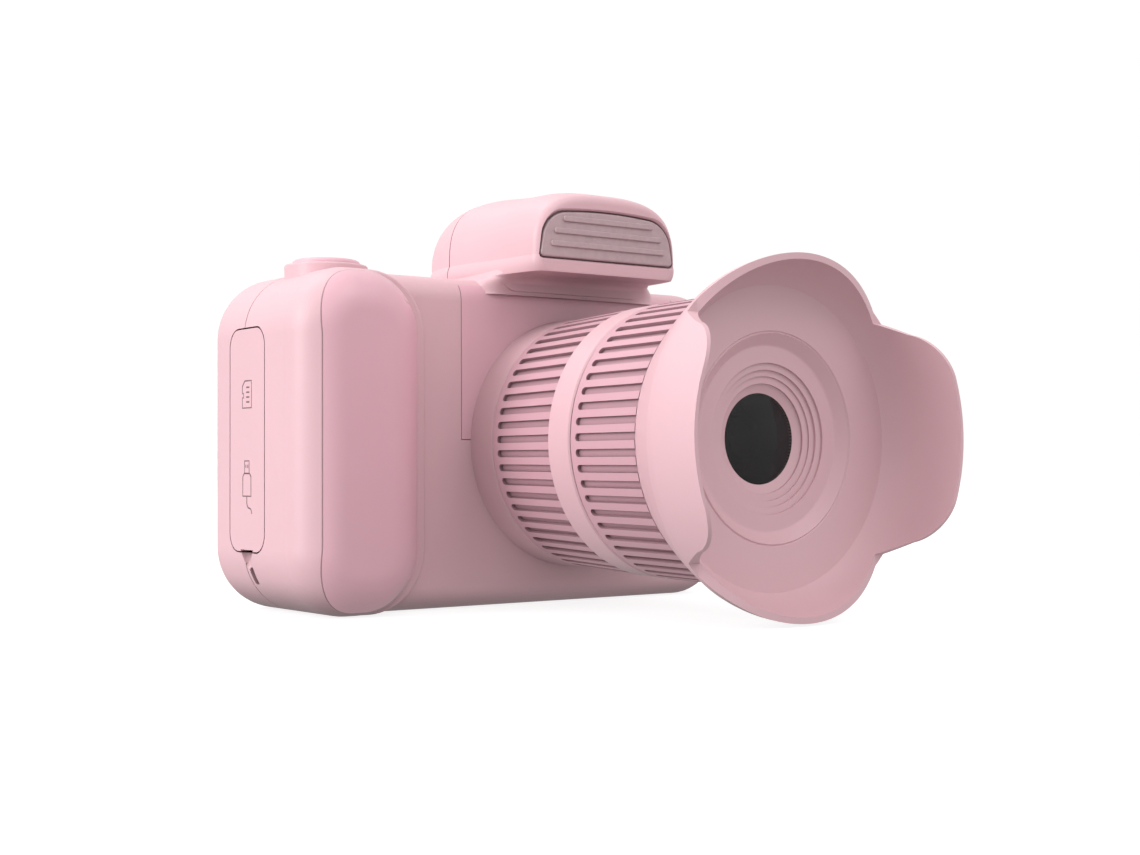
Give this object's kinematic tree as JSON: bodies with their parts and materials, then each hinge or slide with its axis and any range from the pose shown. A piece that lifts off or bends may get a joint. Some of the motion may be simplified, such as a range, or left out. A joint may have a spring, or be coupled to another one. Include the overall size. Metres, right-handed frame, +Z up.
{
  "type": "toy camera",
  "caption": "Child's pink digital camera shaped like a small SLR: side grip, ribbed lens barrel with a petal-shaped hood, overhanging flash head, side port door and rear screen.",
  "frame": {"origin": "mouth of the tripod socket in the base, under the lens axis", "axes": "+Z up, -Y forward along the lens axis, grip on the -X side"},
  "size_m": [0.1058, 0.108, 0.0818],
  "materials": {
    "pale_pink_shell": "fine satin ABS, pale pink",
    "rose_pink_trim": "fine satin ABS, deeper pink",
    "ring_pink": "satin ABS, deeper pink, ribbed",
    "window_grey": "frosted warm grey diffuser",
    "black_glass": "polished, near black",
    "black_plastic": "moulded black",
    "clear_lens": "coated lens element",
    "screen_window": "clear window with black border",
    "display_frame": "stamped frame",
    "circuit_board": "green solder mask",
    "steel": "plain stamped or turned steel",
    "brass": "machined insert",
    "cell_wrap": "silver foil pouch",
    "foam": "closed-cell foam"
  },
  "bodies": {
    "camera": {"front_shell": "pale_pink_shell", "rear_shell": "pale_pink_shell", "flash_housing": "pale_pink_shell", "lens_mount": "pale_pink_shell", "barrel_band": "pale_pink_shell", "tulip_hood": "pale_pink_shell", "front_bezel": "pale_pink_shell", "shutter_ring": "pale_pink_shell", "grip_cover": "rose_pink_trim", "centre_panel": "rose_pink_trim", "rear_grip_ring": "ring_pink", "flash_window": "window_grey", "front_glass": "black_glass", "rear_lens_window": "black_glass", "display_window": "screen_window", "display_module": "display_frame", "barrel_core": "black_plastic", "module_holder": "black_plastic", "camera_module": "black_plastic", "rear_camera_module": "black_plastic", "port_frame": "black_plastic", "memory_card": "black_plastic", "microphone": "steel", "speaker": "black_plastic", "objective_lens": "clear_lens", "sensor_board": "circuit_board", "main_board": "circuit_board", "key_board": "circuit_board", "flash_board": "circuit_board", "shutter_board": "circuit_board", "usb_socket": "steel", "card_socket": "steel", "casing_screws": "steel", "board_screws": "steel", "lanyard_bar": "steel", "tripod_bush": "brass", "battery": "cell_wrap", "battery_pad": "foam"},
    "shutter": {"shutter_button": "rose_pink_trim"},
    "door": {"port_cover": "pale_pink_shell"},
    "focus": {"focus_ring": "ring_pink"},
    "pad": {"pad_ring": "rose_pink_trim"},
    "ok": {"ok_button": "rose_pink_trim"},
    "power": {"power_button": "rose_pink_trim"},
    "mode": {"mode_button": "rose_pink_trim"}
  },
  "joints": [
    {"name": "shutter_press", "type": "slide", "parent": "camera", "child": "shutter", "axis": [0, 0, -1], "range_m": [0, 0.001], "stiffness_N_per_m": 900},
    {"name": "door_hinge", "type": "hinge", "parent": "camera", "child": "door", "pos_m": [-0.0644, -0.00195, 0.0527], "axis": [0, 1, 0], "range_deg": [0, 115]},
    {"name": "focus_turn", "type": "hinge", "parent": "camera", "child": "focus", "pos_m": [0, -0.0588, 0.03175], "axis": [0, -1, 0], "range_deg": [-60, 60]},
    {"name": "pad_press", "type": "slide", "parent": "camera", "child": "pad", "axis": [0, -1, 0], "range_m": [0, 0.0006], "stiffness_N_per_m": 1200},
    {"name": "ok_press", "type": "slide", "parent": "camera", "child": "ok", "axis": [0, -1, 0], "range_m": [0, 0.0006], "stiffness_N_per_m": 1200},
    {"name": "power_press", "type": "slide", "parent": "camera", "child": "power", "axis": [0, -1, 0], "range_m": [0, 0.0006], "stiffness_N_per_m": 1200},
    {"name": "mode_press", "type": "slide", "parent": "camera", "child": "mode", "axis": [0, -1, 0], "range_m": [0, 0.0006], "stiffness_N_per_m": 1200}
  ]
}
